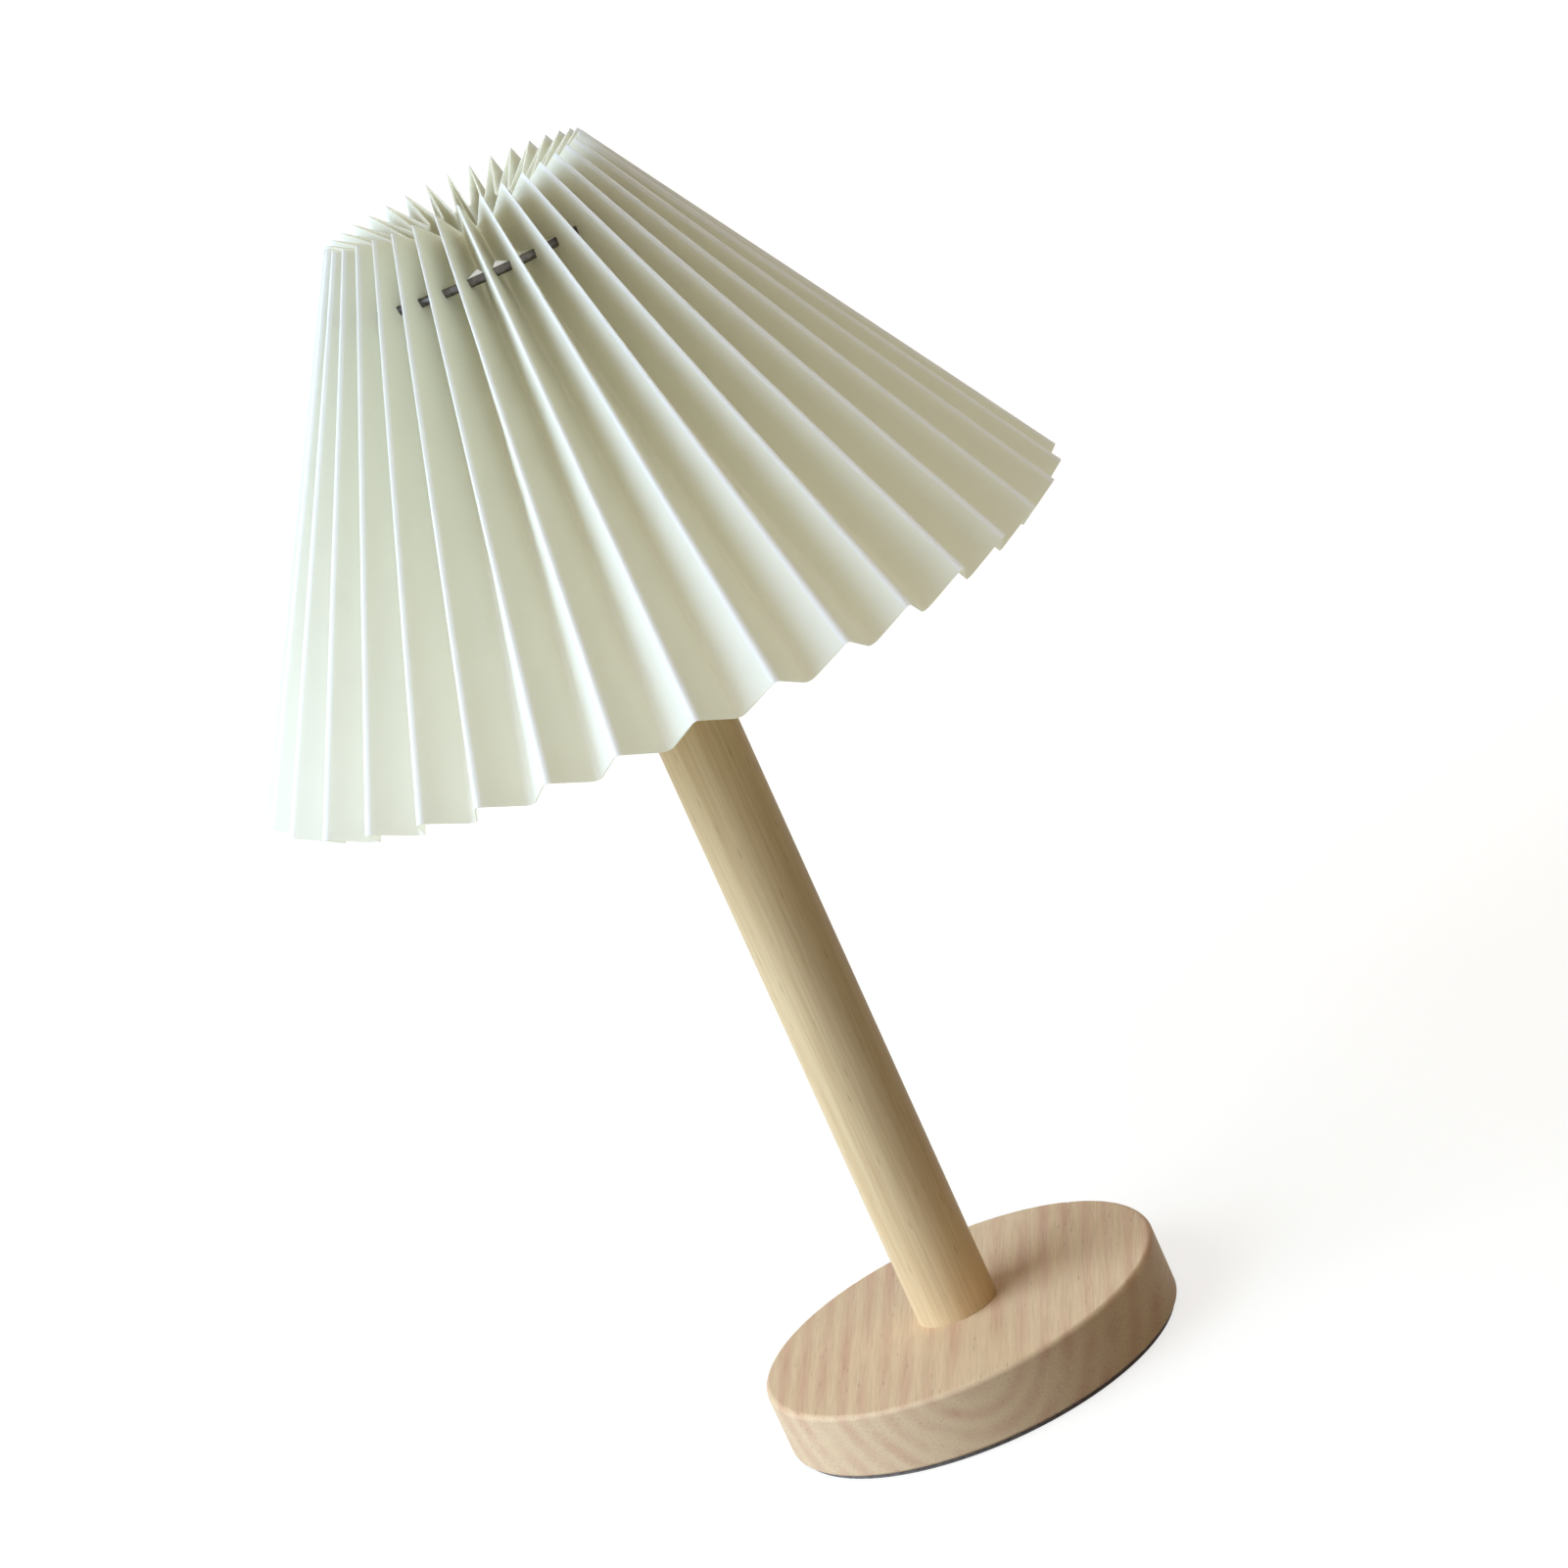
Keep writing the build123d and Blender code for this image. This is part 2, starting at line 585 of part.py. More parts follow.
# Insulator between the cap and the centre contact
insulator_under = bulb_tip + BULB_CONTACT_HEIGHT
with BuildPart() as bulb_insulator:
    with BuildSketch(Plane.XZ):
        with BuildLine():
            Polyline(
                (0, insulator_under),
                (BULB_CONTACT_RADIUS + BULB_CAP_SHEET, insulator_under),
                (cap_mouth_radius - BULB_CAP_SHEET, cap_bottom),
                (0, cap_bottom),
                close=True,
            )
        make_face()
    revolve(axis=Axis.Z)
with BuildPart() as bulb_contact:
    with BuildSketch(Plane.XY.offset(bulb_tip)):
        Circle(BULB_CONTACT_RADIUS)
    extrude(amount=BULB_CONTACT_HEIGHT)
    fillet(bulb_contact.edges().sort_by(Axis.Z)[0], BULB_CONTACT_HEIGHT / 2)

# Bulb body: moulded cup that flares from the cap to the globe
body_top = bulb_tip + BULB_BODY_TOP
with BuildPart() as bulb_body:
    with BuildSketch(Plane.XZ):
        with BuildLine():
            Line((0, cap_top), (BULB_NECK_RADIUS, cap_top))
            Spline(
                (BULB_NECK_RADIUS, cap_top),
                (body_top_radius, body_top),
                tangents=[(BULB_NECK_FLARE, 1), (globe_centre - body_top, body_top_radius)],
            )
            Line((body_top_radius, body_top), (0, body_top))
            Line((0, body_top), (0, cap_top))
        make_face()
    revolve(axis=Axis.Z)
bulb_led_board = disc(body_top, body_top + LED_BOARD_THICKNESS, LED_BOARD_RADIUS)

# Globe: opal diffuser, a thin ball cut flat where it meets the body
with BuildPart() as bulb_globe:
    with Locations((0, 0, globe_centre)):
        Sphere(GLOBE_RADIUS)
        Sphere(GLOBE_RADIUS - GLOBE_WALL, mode=Mode.SUBTRACT)
    split(bisect_by=Plane.XY.offset(body_top), keep=Keep.TOP)

pieces = {
    "base_pad": base_pad,
    "base_disc": base_disc,
    "cable_grommet": cable_grommet,
    "stem": stem,
    "threaded_tube": threaded_tube,
    "base_washer": base_washer,
    "lock_washer": lock_washer,
    "base_nut": base_nut,
    "stem_washer": stem_washer,
    "stem_nut": stem_nut,
    "holder_dome": holder_dome,
    "holder_lock_screw": holder_lock_screw,
    "holder_skirt": holder_skirt,
    "holder_insert": holder_insert,
    "screw_shell": screw_shell,
    "centre_contact": centre_contact,
    "terminal_plates": terminal_plates,
    "terminal_screws": terminal_screws,
    "carrier_hub": carrier_hub,
    "clamp_ring": clamp_ring,
    "shade_hoop": shade_hoop,
    "carrier_arms": carrier_arms,
    "pleated_shade": pleated_shade,
    "bulb_cap": bulb_cap,
    "bulb_insulator": bulb_insulator,
    "bulb_contact": bulb_contact,
    "bulb_body": bulb_body,
    "bulb_led_board": bulb_led_board,
    "bulb_globe": bulb_globe,
}

os.makedirs("parts", exist_ok=True)
for name, piece in pieces.items():
    piece.part.label = name
    export_step(piece.part, f"parts/{name}.step")
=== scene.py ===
import math
import random

import bpy
from bpy.props import FloatProperty, FloatVectorProperty, IntProperty, PointerProperty
from mathutils import Matrix, Vector


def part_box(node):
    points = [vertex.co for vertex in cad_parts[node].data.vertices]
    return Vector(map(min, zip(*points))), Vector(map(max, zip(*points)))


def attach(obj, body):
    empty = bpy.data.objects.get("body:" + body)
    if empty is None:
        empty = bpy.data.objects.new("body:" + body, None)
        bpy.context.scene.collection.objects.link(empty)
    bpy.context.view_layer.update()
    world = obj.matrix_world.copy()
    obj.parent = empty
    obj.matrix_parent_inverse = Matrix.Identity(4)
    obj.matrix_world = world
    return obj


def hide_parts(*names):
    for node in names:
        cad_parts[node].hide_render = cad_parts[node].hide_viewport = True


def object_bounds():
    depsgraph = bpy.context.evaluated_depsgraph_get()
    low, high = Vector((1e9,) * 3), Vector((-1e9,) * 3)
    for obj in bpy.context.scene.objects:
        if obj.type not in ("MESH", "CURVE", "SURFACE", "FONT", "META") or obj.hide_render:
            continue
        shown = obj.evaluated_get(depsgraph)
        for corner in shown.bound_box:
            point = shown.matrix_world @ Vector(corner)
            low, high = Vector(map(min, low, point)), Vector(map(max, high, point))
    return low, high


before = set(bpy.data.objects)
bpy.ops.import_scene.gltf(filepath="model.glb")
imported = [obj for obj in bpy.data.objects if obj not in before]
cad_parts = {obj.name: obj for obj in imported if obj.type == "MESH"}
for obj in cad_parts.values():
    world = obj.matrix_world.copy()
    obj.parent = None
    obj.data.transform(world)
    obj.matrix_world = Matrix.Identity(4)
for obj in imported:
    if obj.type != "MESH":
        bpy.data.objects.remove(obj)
cad_low, cad_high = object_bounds()

bl_info = {
    "name": "Pleated Paper Table Lamp",
    "version": (1, 0, 0),
    "blender": (4, 5, 0),
    "location": "View3D > Sidebar > Table Lamp",
    "description": "Finishes, folded shade and threaded details of a wooden table lamp",
    "category": "Object",
}

MM = 0.001

# How the meshes are made. None of these is a size of the lamp
MERGE_DISTANCE = 0.001 * MM  # Points of a turned piece this close count as one
WALL_TOLERANCE = 0.01 * MM  # How far off a wall's radius its points may lie
FOLD_CUTS = 7  # Points along a fold, between its two ends
CREST_SEGMENTS = 6  # Facets of a rounded outer fold
VALLEY_SEGMENTS = 5  # Facets of a rounded inner fold
CUTTER_POINTS = 144  # Points round the disc that cuts the hoop's slots
SKIRT_THREAD_STEPS = 12  # Levels in one pitch of the skirt's thread
CAP_THREAD_STEPS = 14  # Levels in one pitch of the cap's thread
NOTCH_POINTS = 20  # Points round the clamp ring for each finger notch

# The waves in which the folds' lower ends crowd: the angle at which one starts, and how far
# all folds drift one way, as a share of a wave's height
CROWDING_START = math.radians(105)
CROWDING_DRIFT = 0.6

# A ring texture of this scale draws one ring in each unit of its coordinates
RING_SCALE = 0.314
# A ring wanders over this many times its own width along the grain
RING_RUN = 20

# The stage, in metres
FLOOR_SIZE = 80.0
LAMP_DISTANCE = 2.1
CAMERA_NEAR_END = 0.05

# Corners of the CAD pieces that new pieces fit, in metres
_, shade_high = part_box("pleated_shade")
hoop_low, hoop_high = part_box("shade_hoop")
skirt_low, skirt_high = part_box("holder_skirt")
ring_low, ring_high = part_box("clamp_ring")
cap_low, cap_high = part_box("bulb_cap")
_, shell_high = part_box("screw_shell")


def linear(hex_colour):
    """Linear red, green, blue and full alpha of an sRGB colour such as D8B994."""
    channels = []
    for start in (0, 2, 4):
        value = int(hex_colour[start:start + 2], 16) / 255
        channels.append(value / 12.92 if value <= 0.04045 else ((value + 0.055) / 1.055) ** 2.4)
    return (*channels, 1.0)


# Settings

def number(name, description, value):
    """A setting that is a plain number."""
    return FloatProperty(name=name, description=description, default=value)


def count(name, description, value, least=1):
    """A setting that is a whole number."""
    return IntProperty(name=name, description=description, default=value, min=least)


def length(name, description, millimetres):
    """A setting that is a length. It is given in millimetres and kept in metres."""
    return FloatProperty(name=name, description=description, default=millimetres * MM,
                         unit="LENGTH")


def angle(name, description, degrees):
    """A setting that is an angle. It is given in degrees and kept in radians."""
    return FloatProperty(name=name, description=description, default=math.radians(degrees),
                         subtype="ANGLE")


def colour(name, description, hex_colour):
    """A setting that is a colour. It is given as sRGB and kept as linear values."""
    return FloatVectorProperty(name=name, description=description, default=linear(hex_colour),
                               subtype="COLOR", size=4, min=0.0, max=1.0)


class LampShadeSettings(bpy.types.PropertyGroup):
    """Sizes of the folded shade."""

    pleats: count("Pleats", "Outer folds round the shade", 36, least=12)
    rim_radius: length("Rim radius", "Stem axis to an outer fold's lower end", 125.0)
    top_radius: length("Top radius", "Stem axis to an outer fold's upper end", 38.5)
    fold_length: length("Fold length", "Width of the paper strip", 162.3)
    pleat_depth: length("Pleat depth", "Paper from an outer fold to an inner fold", 16.0)
    paper: length("Paper", "Thickness of the paper", 0.4)
    crest_width: length("Crest width", "Width of a rounded outer fold", 1.5)
    valley_bend: length("Valley bend", "Paper each side of an inner fold that bends with it", 2.6)
    bunching: length("Bunching", "How far the folds' lower ends crowd in slow waves", 1.5)
    bunches: count("Bunches", "Waves of crowding round the shade", 4)
    wander: length("Wander", "How far a fold's lower end strays by itself", 0.6)
    shift: length("Shift", "How far the shade hangs to one side", 0.6)
    lean: angle("Lean", "Tilt of the shade on its hoop", 0.85)
    slot_gap: length("Slot gap", "Room for the hoop in its slots", 0.1)


class LampHolderSettings(bpy.types.PropertyGroup):
    """Sizes of the lampholder's skirt and clamp ring, and of the bulb's cap."""

    skirt_radius: length("Skirt radius", "Crest of the thread for the clamp ring", 19.8)
    skirt_wall: length("Skirt wall", "Wall of the skirt", 2.4)
    skirt_lip: length("Skirt lip", "Lip that keeps the insert in", 2.0)
    mouth_gap: length("Mouth gap", "Room round the screw shell in the skirt's mouth", 0.15)
    collar_height: length("Collar height", "Height of the collar under the carrier", 3.5)
    skirt_pitch: length("Skirt pitch", "Pitch of the thread for the clamp ring", 3.0)
    skirt_depth: length("Skirt thread depth", "Depth of the thread for the clamp ring", 0.8)
    ring_bore: length("Ring bore", "Radius of the clamp ring's bore", 20.1)
    grip_radius: length("Grip radius", "Radius of the clamp ring's grip", 24.5)
    flange_height: length("Flange height", "Thickness of the clamp ring's flange", 2.5)
    notches: count("Notches", "Finger notches round the clamp ring", 12)
    notch_radius: length("Notch radius", "Radius of a finger notch", 1.6)
    cap_pitch: length("Cap pitch", "Pitch of the bulb's thread", 3.62)
    cap_depth: length("Cap thread depth", "Depth of the bulb's thread", 1.1)
    cap_taper: length("Cap taper", "Height of the cap's drawn-in end", 2.5)
    cap_sheet: length("Cap sheet", "Thickness of the cap's metal", 0.3)
    edge: length("Edge", "Rounding of a moulded edge", 0.5)


class LampFinishSettings(bpy.types.PropertyGroup):
    """Colours of the visible materials."""

    paper: colour("Paper", "Film-covered paper", "F7F7F1")
    # The crease colour is partly film whitened by the fold and partly a painted highlight on the
    # crests
    crease: colour("Crease", "Paper where it is folded outwards", "FDFDFA")
    glow: colour("Glow", "Light that comes through the paper", "FCFBEC")
    see_through: number("See-through", "Share of the paper's light that comes through it", 0.5)
    board_pale: colour("Base, pale", "Early wood of the base", "EBCCA2")
    board_dark: colour("Base, dark", "Late wood of the base", "DEB28F")
    board_pore: colour("Base, pores", "Open pores of the base", "A07C5C")
    dowel_pale: colour("Stem, pale", "Early wood of the stem", "EACD9D")
    dowel_dark: colour("Stem, dark", "Late wood of the stem", "E2C190")
    dowel_pore: colour("Stem, pores", "Open pores of the stem", "B08E62")


class LampStageSettings(bpy.types.PropertyGroup):
    """Camera, lamps and floor."""

    camera_distance: length("Camera distance", "Level distance from the stem's axis", 1396.5)
    camera_height: length("Camera height", "Height above the table", 540.1)
    camera_side: length("Camera side", "Shift to the right of the stem's axis", 16.6)
    camera_pitch: angle("Camera pitch", "How far the camera looks down", 14.14)
    camera_roll: angle("Camera roll", "How far the picture is turned", 24.23)
    lens: number("Lens", "Focal length in millimetres, for the frame width below", 114.96)
    frame_width: number("Frame width", "Width of the camera's frame in millimetres", 36.0)
    window_power: number("Window", "Power of the window on the left", 84.0)
    ceiling_power: number("Ceiling", "Power of the soft light overhead", 8.0)
    zenith: number("Zenith", "Strength of the light from straight above", 0.41)
    horizon: number("Horizon", "Strength of the light from level places", 0.04)
    floor_lift: number("Floor lift", "Light that the floor shows of itself at the lamp", 0.75)
    lift_start: length("Lift start", "Distance at which the floor begins to show more", 250.0)
    lift_end: length("Lift end", "Distance from which the floor shows as white", 2000.0)
    window_tint: colour("Window tint", "Colour of the window on the left", "CAE1FF")
    sky_tint: colour("Sky tint", "Colour of the ceiling and the room", "FFEAD6")
    floor: colour("Floor", "Plain pale board", "969388")


class LampSettings(bpy.types.PropertyGroup):
    """All settings of the lamp."""

    shade: PointerProperty(type=LampShadeSettings)
    holder: PointerProperty(type=LampHolderSettings)
    finish: PointerProperty(type=LampFinishSettings)
    stage: PointerProperty(type=LampStageSettings)


# Nodes and materials

def add_node(tree, kind, inputs=None, stops=None, **settings):
    """Adds a shader node.

    Inputs map the name or number of a socket to its value, or to the socket that feeds it.
    Stops are the places and colours of a ramp.
    """
    node = tree.nodes.new("ShaderNode" + kind)
    for name, value in settings.items():
        setattr(node, name, value)
    for socket, value in (inputs or {}).items():
        if isinstance(value, bpy.types.NodeSocket):
            tree.links.new(value, node.inputs[socket])
        else:
            node.inputs[socket].default_value = value
    if stops:
        ramp = node.color_ramp
        while len(ramp.elements) < len(stops):
            ramp.elements.new(0.5)
        for element, (place, tone) in zip(ramp.elements, stops):
            element.position = place
            element.color = tone
    return node


def new_material(name):
    """A material and its node tree, emptied."""
    material = bpy.data.materials.new(name)
    material.use_nodes = True
    material.node_tree.nodes.clear()
    return material, material.node_tree


def place_by(tree, cell, middle=(0, 0, 0), turn=(0, 0, 0)):
    """Object coordinates in cells, about a middle and turned. Cell and middle are in mm."""
    place = add_node(tree, "TexCoord")
    mapping = add_node(tree, "Mapping", {
        "Vector": place.outputs["Object"],
        "Location": [MM * way for way in middle],
        "Rotation": turn,
        "Scale": [MM * size for size in cell],
    }, vector_type="TEXTURE")
    return mapping.outputs["Vector"]


def clouds(tree, cells, detail, roughness=0.5):
    """A soft random pattern, one cloud to a cell."""
    noise = add_node(tree, "TexNoise", {
        "Vector": cells, "Scale": 1.0, "Detail": detail, "Roughness": roughness,
    })
    return noise.outputs["Fac"]


def mix_colours(tree, share, first, second, blend_type="MIX"):
    """A mix of two colours. Sockets go by number: the node has some of the same name."""
    mix = add_node(tree, "Mix", {0: share, 6: first, 7: second}, data_type="RGBA",
                   blend_type=blend_type)
    return mix.outputs[2]


def laminated_paper(name, tone, glow, share):
    """Paper laminated with a matt film: even and soft, and a share of the light comes through."""
    material, tree = new_material(name)
    # Fibres of the paper under the film: clouds 14 mm across, at most 3.5 % darker
    fibres = clouds(tree, place_by(tree, (14, 14, 14)), 4.0)
    dimmed = [0.965 * channel for channel in tone[:3]] + [1.0]
    paper = mix_colours(tree, fibres, dimmed, tone)
    # Emboss of the film: 0.3 mm on the real one, drawn at 0.8 mm so that it shows
    grain = clouds(tree, place_by(tree, (0.8, 0.8, 0.8)), 2.0)
    emboss = add_node(tree, "Bump", {"Height": grain, "Strength": 0.55, "Distance": 0.03 * MM})
    shader = add_node(tree, "BsdfPrincipled", {
        "Base Color": paper, "Roughness": 0.55, "Specular IOR Level": 0.35,
        "Normal": emboss.outputs["Normal"],
    })
    through = add_node(tree, "BsdfTranslucent", {
        "Color": glow, "Normal": emboss.outputs["Normal"],
    })
    mixed = add_node(tree, "MixShader", {0: share, 1: shader.outputs[0], 2: through.outputs[0]})
    add_node(tree, "OutputMaterial", {"Surface": mixed.outputs[0]})
    return material


def wood(name, turn, heart, ring, tones, roughness, streak, waver):
    """Sanded wood: soft rings about the tree's heart, fibres and pores.

    The grain runs along the turned Y axis. The heart's place, the width of a ring, and the
    width and run of a streak are in millimetres.
    """
    pale, dark, pore = tones
    material, tree = new_material(name)

    def grained_cells(across, along):
        """Coordinates in cells of a size across the grain and along it."""
        return place_by(tree, (across, along, across), heart, turn)

    # Rings, one to a cell, which wander slowly along the board
    rings = add_node(tree, "TexWave", {
        "Vector": grained_cells(ring, RING_RUN * ring), "Scale": RING_SCALE,
        "Distortion": waver, "Detail": 2.0, "Detail Scale": 0.3, "Detail Roughness": 0.5,
    }, wave_type="RINGS", rings_direction="Y", wave_profile="SIN")
    # Late wood is strong in some places and faint in others, 11 mm wide and 70 mm long
    strength = add_node(tree, "MapRange", {
        "Value": clouds(tree, grained_cells(11, 70), 3.0),
        "From Min": 0.35, "From Max": 0.65, "To Min": 0.1, "To Max": 1.0,
    })
    amount = add_node(tree, "Math", {0: rings.outputs["Fac"], 1: strength.outputs[0]},
                      operation="MULTIPLY")
    ringed = mix_colours(tree, amount.outputs[0], pale, dark)
    # Fibres: fine light and dark streaks along the grain, at half strength
    fibres = clouds(tree, grained_cells(*streak), 4.0, 0.6)
    tint = add_node(tree, "ValToRGB", {"Fac": fibres}, stops=[
        (0.32, linear("E0D8CC")),
        (0.60, linear("FFFFFF")),
    ])
    streaked = mix_colours(tree, 0.5, ringed, tint.outputs["Color"], "MULTIPLY")
    # Open pores: sparse dashes 3 mm long. They are 0.2 mm wide on the real wood, and drawn
    # 0.4 mm wide so that they show
    pores = add_node(tree, "TexVoronoi", {"Vector": grained_cells(1.9, 16), "Scale": 1.0})
    pored = add_node(tree, "ValToRGB", {"Fac": pores.outputs["Distance"]}, stops=[
        (0.05, (0.5, 0.5, 0.5, 1)),
        (0.15, (0, 0, 0, 1)),
    ])
    grained = mix_colours(tree, pored.outputs["Color"], streaked, pore)
    sanded = add_node(tree, "Bump", {"Height": fibres, "Strength": 0.5, "Distance": 0.04 * MM})
    shader = add_node(tree, "BsdfPrincipled", {
        "Base Color": grained, "Roughness": roughness, "Specular IOR Level": 0.12,
        "Normal": sanded.outputs["Normal"],
    })
    add_node(tree, "OutputMaterial", {"Surface": shader.outputs["BSDF"]})
    return material


def fine_finish(name, pale, dark, roughness, grain=1.5, relief=0.01, metallic=0.0):
    """A finish with a soft change of colour and a grain. Grain and relief are in millimetres."""
    material, tree = new_material(name)
    noise = clouds(tree, place_by(tree, (grain, grain, grain)), 3.0)
    tone = add_node(tree, "ValToRGB", {"Fac": noise}, stops=[
        (0.35, linear(dark)),
        (0.65, linear(pale)),
    ])
    bump = add_node(tree, "Bump", {"Height": noise, "Strength": 0.5, "Distance": relief * MM})
    shader = add_node(tree, "BsdfPrincipled", {
        "Base Color": tone.outputs["Color"], "Roughness": roughness, "Metallic": metallic,
        "Normal": bump.outputs["Normal"],
    })
    add_node(tree, "OutputMaterial", {"Surface": shader.outputs["BSDF"]})
    return material


def moulding():
    """White PBT as it leaves a spark-eroded mould: satin, with a very fine grain. Made once."""
    known = bpy.data.materials.get("white_pbt")
    return known or fine_finish("white_pbt", "EFEEE9", "E8E7E1", roughness=0.38, grain=0.6,
                                relief=0.006)


def dress(material, *nodes):
    """Gives a finish to CAD nodes by their material slots."""
    for name in nodes:
        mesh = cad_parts[name].data
        mesh.materials.clear()
        mesh.materials.append(material)


# Modelling

def start_clean():
    """Leaves edit mode and deselects everything."""
    if bpy.context.object and bpy.context.object.mode != "OBJECT":
        bpy.ops.object.mode_set(mode="OBJECT")
    bpy.ops.object.select_all(action="DESELECT")


def select_where(mode, part_of, passes):
    """In edit mode, selects the vertices or edges that pass a test, and nothing else."""
    piece = bpy.context.edit_object
    bpy.ops.mesh.select_mode(type=mode)
    bpy.ops.mesh.select_all(action="DESELECT")
    bpy.ops.object.mode_set(mode="OBJECT")
    chosen = 0
    for part in part_of(piece.data):
        part.select = passes(part)
        chosen += part.select
    bpy.ops.object.mode_set(mode="EDIT")
    if not chosen:
        raise RuntimeError(f"{piece.name} has nothing in the place that was to be shaped")


def select_vertices(test):
    """Selects the vertices that pass a test of their place."""
    select_where("VERT", lambda mesh: mesh.vertices, lambda vertex: test(vertex.co))


def select_edges(test):
    """Selects the edges whose two ends pass a test together."""
    points = bpy.context.edit_object.data.vertices
    select_where("EDGE", lambda mesh: mesh.edges,
                 lambda edge: test(points[edge.vertices[0]].co, points[edge.vertices[1]].co))


def turned_piece(profile, vertices=96):
    """Turns a profile of (radius, level) points.

    A circle is extruded and resized from one point to the next.
    """
    start_clean()
    radius, level = profile[0]
    bpy.ops.mesh.primitive_circle_add(vertices=vertices, radius=radius, location=(0, 0, 0))
    bpy.ops.object.mode_set(mode="EDIT")
    bpy.ops.mesh.select_all(action="SELECT")
    bpy.ops.transform.translate(value=(0, 0, level))
    for next_radius, next_level in profile[1:]:
        share = next_radius / radius
        rise = (0, 0, next_level - level)
        bpy.ops.mesh.extrude_edges_move(TRANSFORM_OT_translate={"value": rise})
        bpy.ops.transform.resize(value=(share, share, 1), center_override=(0, 0, next_level))
        radius, level = next_radius, next_level
    bpy.ops.mesh.select_all(action="SELECT")
    bpy.ops.mesh.remove_doubles(threshold=MERGE_DISTANCE)
    bpy.ops.mesh.normals_make_consistent(inside=False)
    bpy.ops.object.mode_set(mode="OBJECT")
    return bpy.context.object


def press_wall(piece, radius, low, high, depth_at):
    """Moves the points of a turned wall inwards, by a depth that their angle and level give."""
    for vertex in piece.data.vertices:
        x, y, z = vertex.co
        if low <= z <= high and abs(math.hypot(x, y) - radius) < WALL_TOLERANCE:
            share = 1 - depth_at(math.atan2(y, x), z) / radius
            vertex.co = (x * share, y * share, z)


def cut_thread(piece, radius, low, high, pitch, depth):
    """Cuts a rounded thread into a turned wall. It fades out over half a pitch at each end."""
    fade = pitch / 2

    def depth_at(turn, z):
        """Depth of the thread at a point of the wall."""
        wave = (1 - math.cos(2 * math.pi * z / pitch - turn)) / 2
        return depth * wave * min(1.0, (z - low) / fade, (high - z) / fade)

    press_wall(piece, radius, low, high, depth_at)


def steps_between(low, high, spacing):
    """Evenly spaced levels from low to high, no further apart than a spacing."""
    steps = max(1, math.ceil((high - low) / spacing))
    return [low + (high - low) * step / steps for step in range(steps + 1)]


def apply_modifier(piece, kind, **settings):
    """Adds a modifier, sets it and applies it."""
    start_clean()
    piece.select_set(True)
    bpy.context.view_layer.objects.active = piece
    modifier = piece.modifiers.new(kind.title(), kind)
    for name, value in settings.items():
        setattr(modifier, name, value)
    bpy.ops.object.modifier_apply(modifier=modifier.name)


def finish_piece(piece, name, materials, body, replaced, smooth_degrees=40):
    """Names a finished piece, smooths it, gives it its finish and joins it to its body."""
    start_clean()
    piece.name = name
    piece.data.name = name
    piece.select_set(True)
    bpy.context.view_layer.objects.active = piece
    bpy.ops.object.transform_apply(location=True, rotation=True, scale=True)
    bpy.ops.object.shade_smooth_by_angle(angle=math.radians(smooth_degrees))
    for material in materials:
        piece.data.materials.append(material)
    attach(piece, body)
    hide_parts(*replaced)


# Operators

